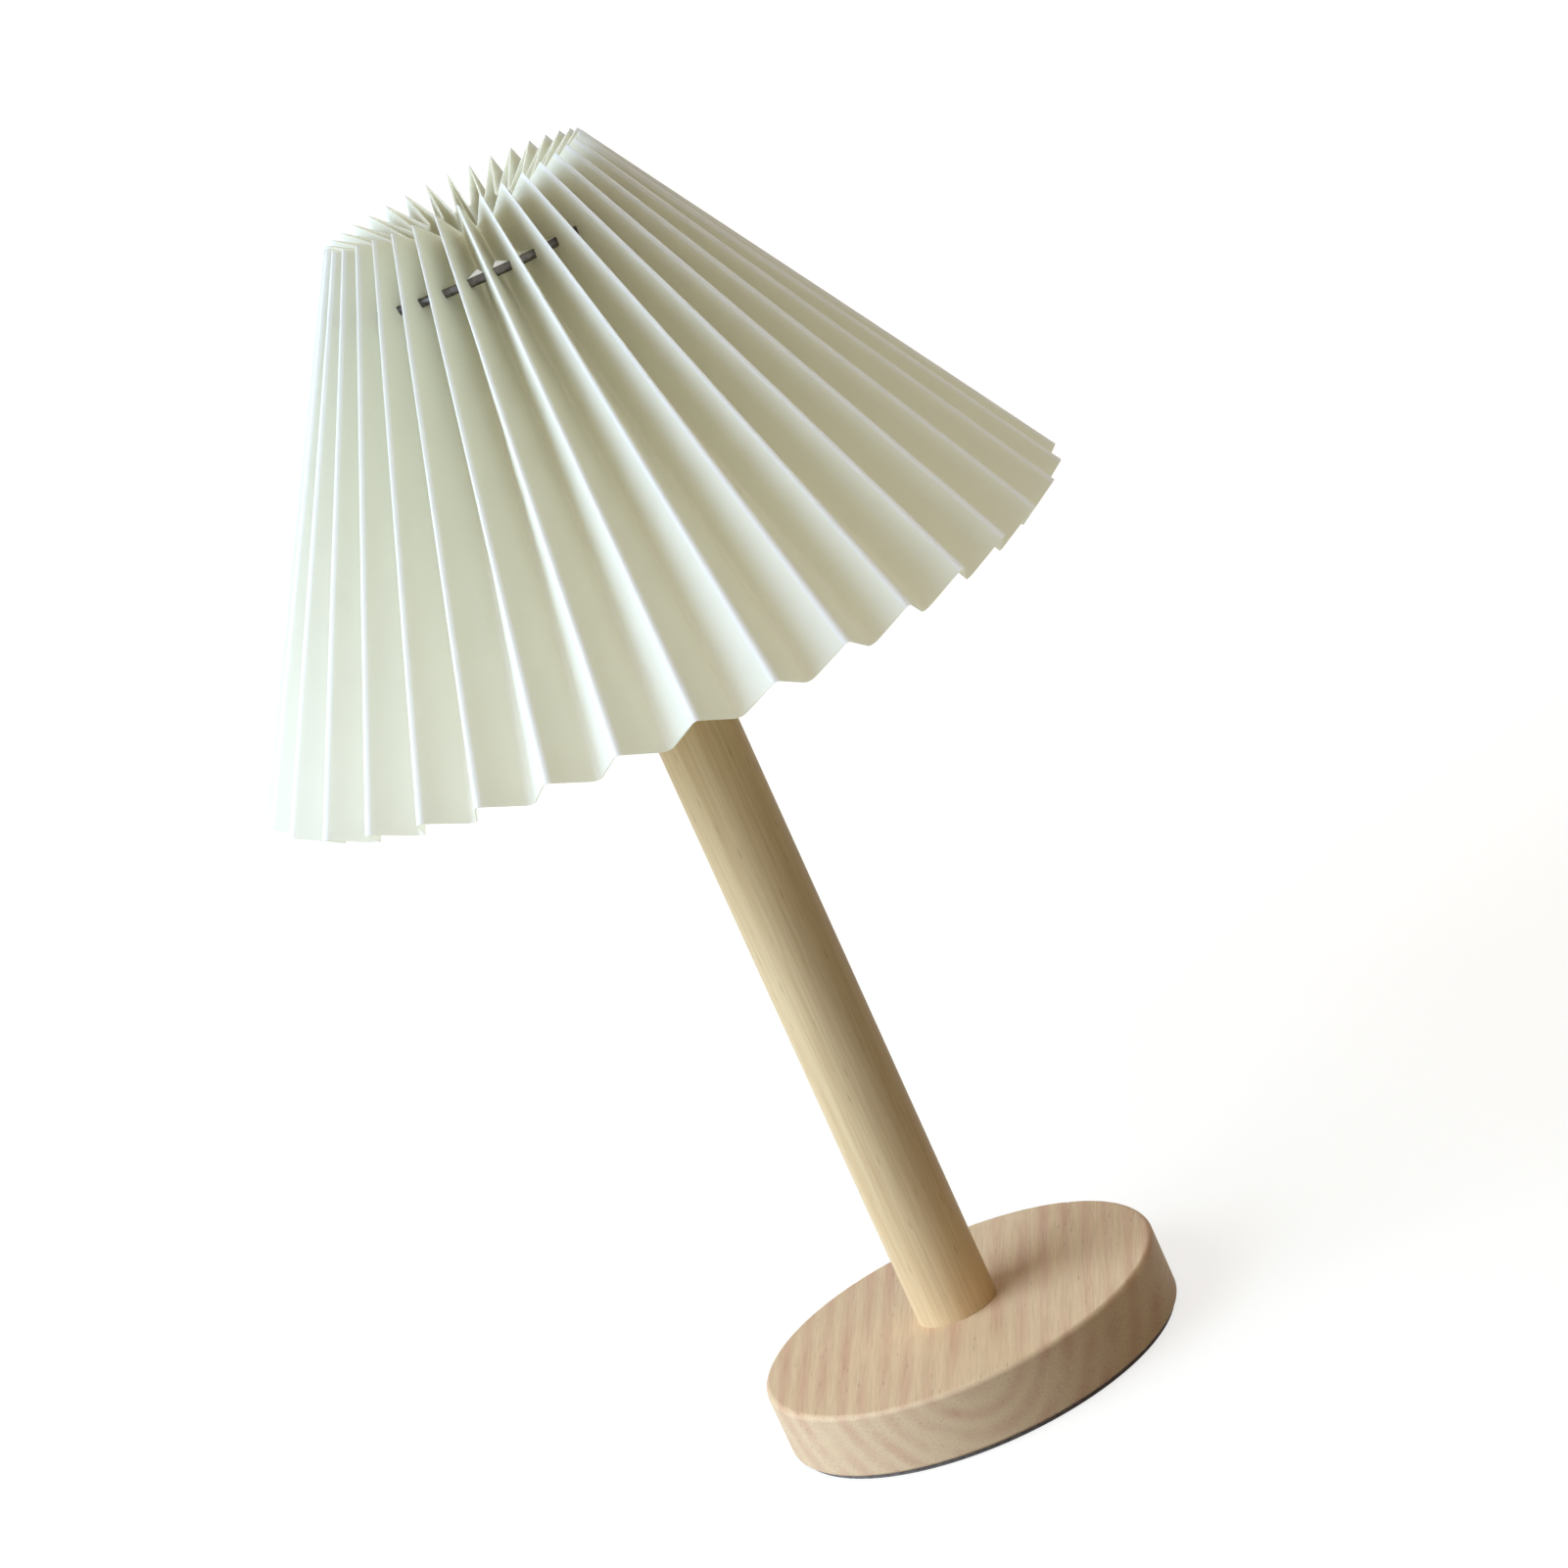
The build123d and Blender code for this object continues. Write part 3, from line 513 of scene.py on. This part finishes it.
class LAMP_OT_stage(bpy.types.Operator):
    """Make the floor, the lamps, the sky and the camera"""

    bl_idname = "lamp.stage"
    bl_label = "Stage"

    def execute(self, context):
        stage = context.scene.lamp.stage
        start_clean()
        self.add_floor(context, stage)
        self.add_sky(context, stage)
        self.add_lamp("window", left=75, up=27, size=(2.4, 1.8), power=stage.window_power,
                      tint=stage.window_tint)
        self.add_lamp("ceiling", left=0, up=85, size=(2.0, 2.0), power=stage.ceiling_power,
                      tint=stage.sky_tint)
        self.add_camera(context, stage)
        context.scene.view_settings.view_transform = "Standard"
        return {"FINISHED"}

    def add_floor(self, context, stage):
        """The table top, white to the camera, to metal and to glass.

        To the light that lands on the lamp it is only a pale board.
        """
        bpy.ops.mesh.primitive_plane_add(size=FLOOR_SIZE, location=(0, 0, 0))
        floor = context.object
        floor.name = "floor"
        material, tree = new_material("matt_board")
        place = add_node(tree, "TexCoord")
        distance = add_node(tree, "VectorMath", {0: place.outputs["Object"]}, operation="LENGTH")
        away = add_node(tree, "MapRange", {
            "Value": distance.outputs["Value"], "From Min": stage.lift_start,
            "From Max": stage.lift_end, "To Min": stage.floor_lift, "To Max": 1.0,
        })
        lift = add_node(tree, "Math", {0: self.seen(tree), 1: away.outputs[0]},
                        operation="MULTIPLY")
        shader = add_node(tree, "BsdfPrincipled", {
            "Base Color": stage.floor, "Roughness": 0.9, "Emission Color": (1, 1, 1, 1),
            "Emission Strength": lift.outputs[0],
        })
        add_node(tree, "OutputMaterial", {"Surface": shader.outputs["BSDF"]})
        floor.data.materials.append(material)

    def add_sky(self, context, stage):
        """White to the camera, to metal and to glass, and a dim room to all other light."""
        world = bpy.data.worlds.new("studio")
        world.use_nodes = True
        context.scene.world = world
        tree = world.node_tree
        tree.nodes.clear()
        place = add_node(tree, "TexCoord")
        aim = add_node(tree, "SeparateXYZ", {0: place.outputs["Generated"]})
        strength = add_node(tree, "MapRange", {
            "Value": aim.outputs["Z"], "To Min": stage.horizon, "To Max": stage.zenith,
        })
        lit = add_node(tree, "Background", {
            "Color": stage.sky_tint, "Strength": strength.outputs[0],
        })
        white = add_node(tree, "Background", {"Color": (1, 1, 1, 1), "Strength": 1.0})
        mixed = add_node(tree, "MixShader", {
            0: self.seen(tree), 1: lit.outputs[0], 2: white.outputs[0],
        })
        add_node(tree, "OutputWorld", {"Surface": mixed.outputs[0]})

    def seen(self, tree):
        """1 for a ray from the camera, from metal or through glass, else 0."""
        rays = add_node(tree, "LightPath")
        direct = add_node(tree, "Math", {
            0: rays.outputs["Is Camera Ray"], 1: rays.outputs["Is Glossy Ray"],
        }, operation="MAXIMUM")
        through = add_node(tree, "Math", {
            0: direct.outputs[0], 1: rays.outputs["Is Transmission Ray"],
        }, operation="MAXIMUM")
        return through.outputs[0]

    def add_lamp(self, name, left, up, size, power, tint):
        """A soft lamp that faces the object's middle, so many degrees to the left and up."""
        lamp_data = bpy.data.lights.new(name, "AREA")
        lamp_data.shape = "RECTANGLE"
        lamp_data.size, lamp_data.size_y = size
        lamp_data.energy = power
        lamp_data.color = tint[:3]
        lamp = bpy.data.objects.new(name, lamp_data)
        bpy.context.scene.collection.objects.link(lamp)
        left, up = math.radians(left), math.radians(up)
        way = Vector((-math.sin(left) * math.cos(up), -math.cos(left) * math.cos(up), math.sin(up)))
        lamp.location = (cad_low + cad_high) / 2 + LAMP_DISTANCE * way
        lamp.rotation_euler = (-way).to_track_quat("-Z", "Y").to_euler()

    def add_camera(self, context, stage):
        """The camera of the photo, which looks down a little and is rolled."""
        camera_data = bpy.data.cameras.new("camera")
        camera_data.lens = stage.lens
        camera_data.sensor_width = stage.frame_width
        camera_data.clip_start = CAMERA_NEAR_END
        camera = bpy.data.objects.new("camera", camera_data)
        context.scene.collection.objects.link(camera)
        tilt = Matrix.Rotation(math.radians(90) - stage.camera_pitch, 4, "X")
        roll = Matrix.Rotation(-stage.camera_roll, 4, "Z")
        place = Matrix.Translation((stage.camera_side, -stage.camera_distance,
                                    stage.camera_height))
        camera.matrix_world = place @ tilt @ roll
        context.scene.camera = camera


class LAMP_OT_finishes(bpy.types.Operator):
    """Give every CAD piece that stays its finish"""

    bl_idname = "lamp.finishes"
    bl_label = "Finishes"

    def execute(self, context):
        finish = context.scene.lamp.finish
        # Rubberwood, planed and sanded: pale tan with broad pinkish rings. Its grain runs front
        # to back, 9 degrees askew, and the heart of the tree lies just above the board
        board = wood("sanded_rubberwood", turn=(0, 0, math.radians(-9)), heart=(5.8, 0.0, 27.8),
                     ring=6.5, tones=(finish.board_pale, finish.board_dark, finish.board_pore),
                     roughness=0.5, streak=(0.5, 16.0), waver=2.2)
        dress(board, "base_disc")
        # Ramin, turned to a dowel and sanded: straight even grain, warmer than the base, rings
        # hardly seen
        dowel = wood("ramin_dowel", turn=(math.radians(-90), 0, 0), heart=(-38.0, 16.0, 0.0),
                     ring=6.5, tones=(finish.dowel_pale, finish.dowel_dark, finish.dowel_pore),
                     roughness=0.45, streak=(0.8, 40.0), waver=1.6)
        dress(dowel, "stem")
        # EVA foam, cut from sheet: dull, with a coarse skin
        foam = fine_finish("eva_foam", "8A8078", "6E655E", roughness=0.9, relief=0.08)
        dress(foam, "base_pad")
        # Rubber, moulded: black with a soft sheen
        rubber = fine_finish("black_rubber", "2C2C30", "1E1E20", roughness=0.7)
        dress(rubber, "cable_grommet")
        # Steel, zinc plated in a barrel: bright, a little cloudy
        zinc = fine_finish("zinc_plated_steel", "C9CBCC", "B4B7BA", roughness=0.32, grain=2.0,
                           relief=0.006, metallic=1.0)
        dress(zinc, "threaded_tube", "base_washer", "lock_washer", "base_nut", "stem_washer",
              "stem_nut", "holder_lock_screw", "terminal_screws")
        # Steel wire, drawn and left bare: dull grey
        wire = fine_finish("drawn_steel_wire", "716E6A", "585552", roughness=0.45, grain=1.2,
                           relief=0.006, metallic=1.0)
        dress(wire, "carrier_hub", "carrier_arms", "shade_hoop")
        dress(moulding(), "holder_dome")
        # Phenolic, pressed: off-white and fairly matt
        phenolic = fine_finish("phenolic_insert", "D6D2C8", "CBC6BA", roughness=0.55)
        dress(phenolic, "holder_insert")
        # Brass, pressed from sheet: warm and bright
        brass = fine_finish("pressed_brass", "D8B56A", "C69F55", roughness=0.3, grain=2.5,
                            relief=0.004, metallic=1.0)
        dress(brass, "screw_shell", "centre_contact", "terminal_plates", "bulb_contact")
        # Glass, cast black round the contact: smooth and glossy
        glass = fine_finish("black_glass", "1A1A1A", "121212", roughness=0.15)
        dress(glass, "bulb_insulator")
        # Polycarbonate, moulded: white and satin
        body = fine_finish("white_polycarbonate", "F2F2EF", "ECECE8", roughness=0.35, grain=8.0,
                           relief=0.003)
        dress(body, "bulb_body")
        # Circuit board under white lacquer
        circuit = fine_finish("lacquered_board", "EDEEEA", "E4E5E0", roughness=0.4)
        dress(circuit, "bulb_led_board")
        # Opal polycarbonate, blown: milky, so drawn as a white that lets nothing through
        opal = fine_finish("opal_polycarbonate", "F6F6F2", "F1F1EC", roughness=0.3, grain=12.0,
                           relief=0.002)
        dress(opal, "bulb_globe")
        return {"FINISHED"}


class LAMP_OT_shade(bpy.types.Operator):
    """Fold the shade from a zigzag strip, round its folds and notch it for the hoop"""

    bl_idname = "lamp.shade"
    bl_label = "Pleated shade"

    def execute(self, context):
        shade = context.scene.lamp.shade
        finish = context.scene.lamp.finish
        self.half_pitch = math.pi / shade.pleats
        run = shade.rim_radius - shade.top_radius
        rise = math.sqrt(shade.fold_length**2 - run**2)
        ridge_top = (shade.top_radius, shade_high.z)
        ridge_rim = (shade.rim_radius, shade_high.z - rise)
        valley_top = self.inner_end(ridge_top, run / rise, shade.pleat_depth)
        valley_rim = self.inner_end(ridge_rim, run / rise, shade.pleat_depth)
        ridge_rim, valley_rim = self.sharp_ends(ridge_rim, valley_rim, shade)
        ridge_top, valley_top = self.sharp_ends(ridge_top, valley_top, shade)
        lift = ridge_top[1] - ridge_rim[1]
        middle = (ridge_rim[1] + valley_top[1]) / 2

        # Rim: a ring of points, every second one drawn out to an outer fold
        start_clean()
        bpy.ops.mesh.primitive_circle_add(vertices=2 * shade.pleats, radius=valley_rim[0],
                                          location=(0, 0, 0))
        piece = context.object
        # Two papers: that of the walls, and the whiter one of the outer folds' bevel. That paper is
        # whiter partly from the crease in the film and partly as a painted highlight along the
        # crests
        for name, tone, glow in (("laminated_paper", finish.paper, finish.glow),
                                 ("creased_and_highlit_paper", finish.crease, finish.crease)):
            piece.data.materials.append(laminated_paper(name, tone, glow, finish.see_through))
        bpy.ops.object.mode_set(mode="EDIT")
        bpy.ops.mesh.select_all(action="SELECT")
        bpy.ops.transform.translate(value=(0, 0, valley_rim[1]))
        select_vertices(self.is_ridge)
        self.move_selected(ridge_rim[0] / valley_rim[0], ridge_rim[1] - valley_rim[1],
                           valley_rim[1])

        # Walls: extruded up from the rim, and drawn in at the top
        bpy.ops.mesh.select_all(action="SELECT")
        bpy.ops.mesh.extrude_edges_move(TRANSFORM_OT_translate={"value": (0, 0, lift)})
        select_vertices(lambda co: co.z > middle and self.is_ridge(co))
        self.move_selected(ridge_top[0] / ridge_rim[0], 0, ridge_top[1])
        select_vertices(lambda co: co.z > middle and not self.is_ridge(co))
        drop = valley_top[1] - valley_rim[1] - lift
        self.move_selected(valley_top[0] / valley_rim[0], drop, valley_rim[1] + lift)

        # Set out by hand: the folds' lower ends crowd in slow waves, and each strays a little
        # by itself
        dice = random.Random(shade.pleats)
        for fold in range(2 * shade.pleats):
            turn = self.azimuth(fold)
            crowd = CROWDING_DRIFT - math.cos(shade.bunches * (turn + CROWDING_START))
            stray = shade.bunching * crowd + shade.wander * dice.uniform(-1, 1)
            select_vertices(lambda co: co.z < middle and self.fold_of(co) == fold)
            sideways = (-math.sin(turn) * stray, math.cos(turn) * stray, 0)
            bpy.ops.transform.translate(value=sideways)

        # Points along the folds, so that the bends follow them, then the bends themselves
        select_edges(self.is_fold)
        bpy.ops.mesh.subdivide(number_cuts=FOLD_CUTS)
        select_edges(lambda a, b: self.is_fold(a, b) and self.is_ridge(a))
        bpy.ops.mesh.bevel(offset_type="WIDTH", offset=shade.crest_width, affect="EDGES",
                           segments=CREST_SEGMENTS, clamp_overlap=False, material=1)
        select_edges(lambda a, b: self.is_fold(a, b) and not self.is_ridge(a))
        bpy.ops.mesh.bevel(offset_type="OFFSET", offset=shade.valley_bend, affect="EDGES",
                           segments=VALLEY_SEGMENTS, clamp_overlap=False)

        # Hung on its hoop, a little out of level
        bpy.ops.mesh.select_all(action="SELECT")
        hoop_level = (hoop_low.z + hoop_high.z) / 2
        bpy.ops.transform.rotate(value=shade.lean, orient_axis="Y",
                                 center_override=(0, 0, hoop_level))
        bpy.ops.transform.translate(value=(shade.shift, 0, 0))
        bpy.ops.mesh.normals_make_consistent(inside=False)
        bpy.ops.object.mode_set(mode="OBJECT")
        apply_modifier(piece, "SOLIDIFY", thickness=shade.paper, offset=-1.0,
                       use_even_offset=True)
        self.notch(piece, shade, hoop_level)
        finish_piece(piece, "folded_shade", [], "shade", ["pleated_shade"],
                     smooth_degrees=45)
        return {"FINISHED"}

    def inner_end(self, ridge_end, slope, depth):
        """Radius and level of an inner fold's end.

        It lies square to the outer fold and one pleat depth away from it, which gives a
        quadratic equation for its radius.
        """
        radius, level = ridge_end
        along, across = math.cos(self.half_pitch), math.sin(self.half_pitch)
        a = along**2 * (1 + slope**2) + across**2
        b = -2 * radius * along * (1 + slope**2)
        c = radius**2 * (1 + slope**2) - depth**2
        inner = (-b - math.sqrt(b * b - 4 * a * c)) / (2 * a)
        return inner, level + slope * (inner * along - radius)

    def sharp_ends(self, ridge, valley, shade):
        """Ends of the sharp folds that come to the real ones' places when a bevel rounds them."""
        out = ridge[0] - valley[0] * math.cos(self.half_pitch)
        up = ridge[1] - valley[1]
        reach = math.hypot(out, up)
        half_angle = math.atan2(valley[0] * math.sin(self.half_pitch), reach)
        # Share of the way from a corner to its chord that a round bevel takes off
        cut = 2 - math.sqrt(2)
        ridge_cut = cut * shade.crest_width / 2 / math.tan(half_angle) / reach
        valley_cut = cut * shade.valley_bend * math.cos(half_angle) / reach
        return ((ridge[0] + out * ridge_cut, ridge[1] + up * ridge_cut),
                (valley[0] - out * valley_cut, valley[1] - up * valley_cut))

    def move_selected(self, share, lift, level):
        """Scales the selection about the shade's axis and lifts it."""
        bpy.ops.transform.resize(value=(share, share, 1), center_override=(0, 0, level))
        bpy.ops.transform.translate(value=(0, 0, lift))

    def notch(self, piece, shade, hoop_level):
        """Cuts the slots in the inner folds that the hoop sits in."""
        start_clean()
        height = hoop_high.z - hoop_low.z + 2 * shade.slot_gap
        bpy.ops.mesh.primitive_cylinder_add(vertices=CUTTER_POINTS, depth=height,
                                            radius=hoop_high.x + shade.slot_gap,
                                            location=(0, 0, hoop_level))
        disc = bpy.context.object
        apply_modifier(piece, "BOOLEAN", operation="DIFFERENCE", object=disc, solver="EXACT")
        bpy.data.objects.remove(disc, do_unlink=True)

    def azimuth(self, fold):
        """Angle of a fold round the axis. Fold 0 is at the front."""
        return fold * self.half_pitch - math.pi / 2

    def fold_of(self, co):
        """Number of the fold nearest to a point. Even ones are outer folds."""
        steps = (math.atan2(co.y, co.x) + math.pi / 2) / self.half_pitch
        return round(steps) % round(2 * math.pi / self.half_pitch)

    def is_ridge(self, co):
        """True for a point nearest to an outer fold."""
        return self.fold_of(co) % 2 == 0

    def is_fold(self, a, b):
        """True for an edge that runs along a fold."""
        return self.fold_of(a) == self.fold_of(b) and abs(a.z - b.z) > MM


class LAMP_OT_skirt(bpy.types.Operator):
    """Make the lampholder's threaded skirt"""

    bl_idname = "lamp.skirt"
    bl_label = "Lampholder skirt"

    def execute(self, context):
        holder = context.scene.lamp.holder
        radius, edge = holder.skirt_radius, holder.edge
        collar, bore = skirt_high.x, radius - holder.skirt_wall
        mouth = shell_high.x + holder.mouth_gap
        under, top = skirt_low.z, skirt_high.z
        collar_top = under + holder.collar_height
        thread_top = top - 2 * edge
        profile = [
            (bore, under),
            (collar - edge, under),
            (collar, under + edge),
            (collar, collar_top - edge),
            (collar - edge, collar_top),
        ]
        spacing = holder.skirt_pitch / SKIRT_THREAD_STEPS
        profile += [(radius, level) for level in steps_between(collar_top, thread_top, spacing)]
        profile += [
            (radius, top - edge),
            (radius - edge, top),
            (mouth + edge, top),
            (mouth, top - edge),
            (mouth, top - holder.skirt_lip),
            (bore, top - holder.skirt_lip),
            (bore, under),
        ]
        piece = turned_piece(profile)
        cut_thread(piece, radius, collar_top, thread_top, holder.skirt_pitch, holder.skirt_depth)
        finish_piece(piece, "threaded_skirt", [moulding()], "base",
                     ["holder_skirt"])
        return {"FINISHED"}


class LAMP_OT_clamp_ring(bpy.types.Operator):
    """Make the clamp ring, with finger notches and rounded edges"""

    bl_idname = "lamp.clamp_ring"
    bl_label = "Clamp ring"

    def execute(self, context):
        holder = context.scene.lamp.holder
        grip, edge, bore = holder.grip_radius, holder.edge, holder.ring_bore
        under, top = ring_low.z, ring_high.z
        flange_top = under + holder.flange_height
        profile = [
            (bore + edge, under),
            (ring_high.x - edge, under),
            (ring_high.x, under + edge),
            (ring_high.x, flange_top - edge),
            (ring_high.x - edge, flange_top),
            (grip, flange_top),
            (grip, top - edge),
            (grip - edge, top),
            (bore + edge, top),
            (bore, top - edge),
            (bore, under + edge),
            (bore + edge, under),
        ]
        piece = turned_piece(profile, NOTCH_POINTS * holder.notches)
        spacing = 2 * math.pi / holder.notches

        def depth_at(turn, z):
            """Depth of a round notch at a point of the grip."""
            across = grip * ((turn + spacing / 2) % spacing - spacing / 2)
            return math.sqrt(max(0.0, holder.notch_radius**2 - across**2))

        press_wall(piece, grip, flange_top, top - edge, depth_at)
        press_wall(piece, grip - edge, top, top, depth_at)
        finish_piece(piece, "notched_ring", [moulding()], "clamp_ring",
                     ["clamp_ring"])
        return {"FINISHED"}


class LAMP_OT_bulb_cap(bpy.types.Operator):
    """Make the bulb's rolled cap"""

    bl_idname = "lamp.bulb_cap"
    bl_label = "Bulb cap"

    def execute(self, context):
        holder = context.scene.lamp.holder
        radius, taper = cap_high.x, holder.cap_taper
        under, shoulder, top = cap_low.z, cap_low.z + taper, cap_high.z
        # The cap is drawn in at its lower end, in two slopes
        profile = [(radius - taper / 2, under), (radius - taper / 5, under + taper / 2)]
        spacing = holder.cap_pitch / CAP_THREAD_STEPS
        profile += [(radius, level) for level in steps_between(shoulder, top, spacing)]
        piece = turned_piece(profile)
        cut_thread(piece, radius, shoulder, top - taper / 2, holder.cap_pitch, holder.cap_depth)
        apply_modifier(piece, "SOLIDIFY", thickness=holder.cap_sheet, offset=-1.0)
        # Aluminium, rolled from thin sheet: bright and a little soft
        aluminium = fine_finish("rolled_aluminium", "D5D7D9", "C2C5C8", roughness=0.3, grain=2.0,
                                relief=0.004, metallic=1.0)
        finish_piece(piece, "rolled_cap", [aluminium], "bulb", ["bulb_cap"])
        return {"FINISHED"}


class LAMP_PT_panel(bpy.types.Panel):
    """Settings and pieces of the table lamp"""

    bl_idname = "LAMP_PT_panel"
    bl_label = "Table Lamp"
    bl_space_type = "VIEW_3D"
    bl_region_type = "UI"
    bl_category = "Table Lamp"

    def draw(self, context):
        settings = context.scene.lamp
        for group in (settings.shade, settings.holder, settings.finish, settings.stage):
            box = self.layout.box()
            for name in group.__annotations__:
                box.prop(group, name)
        for operator in OPERATORS:
            self.layout.operator(operator.bl_idname)


OPERATORS = (
    LAMP_OT_stage,
    LAMP_OT_finishes,
    LAMP_OT_shade,
    LAMP_OT_skirt,
    LAMP_OT_clamp_ring,
    LAMP_OT_bulb_cap,
)
GROUPS = (
    LampShadeSettings,
    LampHolderSettings,
    LampFinishSettings,
    LampStageSettings,
    LampSettings,
)
CLASSES = (*GROUPS, *OPERATORS, LAMP_PT_panel)


def register():
    for cls in CLASSES:
        bpy.utils.register_class(cls)
    bpy.types.Scene.lamp = PointerProperty(type=LampSettings)


def unregister():
    del bpy.types.Scene.lamp
    for cls in reversed(CLASSES):
        bpy.utils.unregister_class(cls)


def main():
    register()
    bpy.ops.lamp.stage()
    bpy.ops.lamp.finishes()
    bpy.ops.lamp.shade()
    bpy.ops.lamp.skirt()
    bpy.ops.lamp.clamp_ring()
    bpy.ops.lamp.bulb_cap()


if __name__ == "__main__":
    main()
